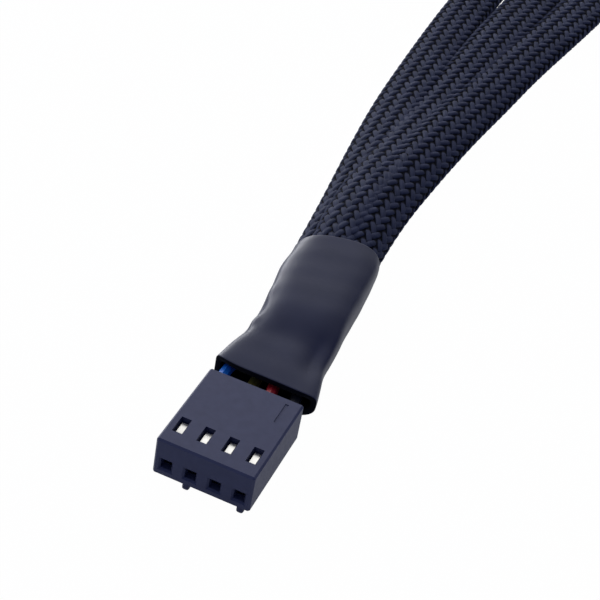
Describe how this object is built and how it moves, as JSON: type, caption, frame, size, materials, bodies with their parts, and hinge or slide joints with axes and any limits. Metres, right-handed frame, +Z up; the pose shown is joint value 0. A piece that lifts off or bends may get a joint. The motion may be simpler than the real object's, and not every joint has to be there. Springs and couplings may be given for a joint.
{
  "type": "fan splitter cable",
  "caption": "Fan splitter cable: flat crimp socket, heat-shrink boot, and braided branches folded back under a strap, each ending in an open shrouded pin plug.",
  "frame": {"origin": "centre of the socket's mating face", "axes": "+Y from the mating face along the cable, +Z up from the table, +X to the right seen from the mating face"},
  "size_m": [0.0716, 0.1776, 0.0071],
  "materials": {
    "housing": "fine matt moulded nylon, black",
    "contact": "bright tin plate on stamped bronze",
    "shrink": "satin heat-shrink tube, black",
    "sleeve": "braided polyester monofilament bundles, black",
    "strap": "woven hook-and-loop strap, black",
    "wire_black": "smooth PVC insulation",
    "wire_red": "smooth PVC insulation",
    "wire_yellow": "smooth PVC insulation",
    "wire_blue": "smooth PVC insulation"
  },
  "bodies": {
    "root": {"socket_housing": "housing", "socket_contact_1": "contact", "socket_contact_2": "contact", "socket_contact_3": "contact", "socket_contact_4": "contact", "lead_black": "wire_black", "lead_red": "wire_red", "lead_yellow": "wire_yellow", "lead_blue": "wire_blue", "splice_black": "contact", "splice_red": "contact", "splice_yellow": "contact", "splice_blue": "contact", "splitter_boot": "shrink", "branch_1": "sleeve", "branch_2": "sleeve", "branch_3": "sleeve", "branch_1_collar": "shrink", "branch_2_collar": "shrink", "branch_3_collar": "shrink", "plug_1_housing": "housing", "plug_1_pin_1": "contact", "plug_1_pin_2": "contact", "plug_1_pin_3": "contact", "plug_1_pin_4": "contact", "plug_1_wire_black": "wire_black", "plug_1_wire_red": "wire_red", "plug_1_wire_yellow": "wire_yellow", "plug_1_wire_blue": "wire_blue", "plug_2_housing": "housing", "plug_2_pin_1": "contact", "plug_2_pin_2": "contact", "plug_2_pin_4": "contact", "plug_2_wire_black": "wire_black", "plug_2_wire_red": "wire_red", "plug_2_wire_blue": "wire_blue", "plug_3_housing": "housing", "plug_3_pin_1": "contact", "plug_3_pin_2": "contact", "plug_3_pin_4": "contact", "plug_3_wire_black": "wire_black", "plug_3_wire_red": "wire_red", "plug_3_wire_blue": "wire_blue", "tie_strap": "strap"}
  },
  "joints": []
}
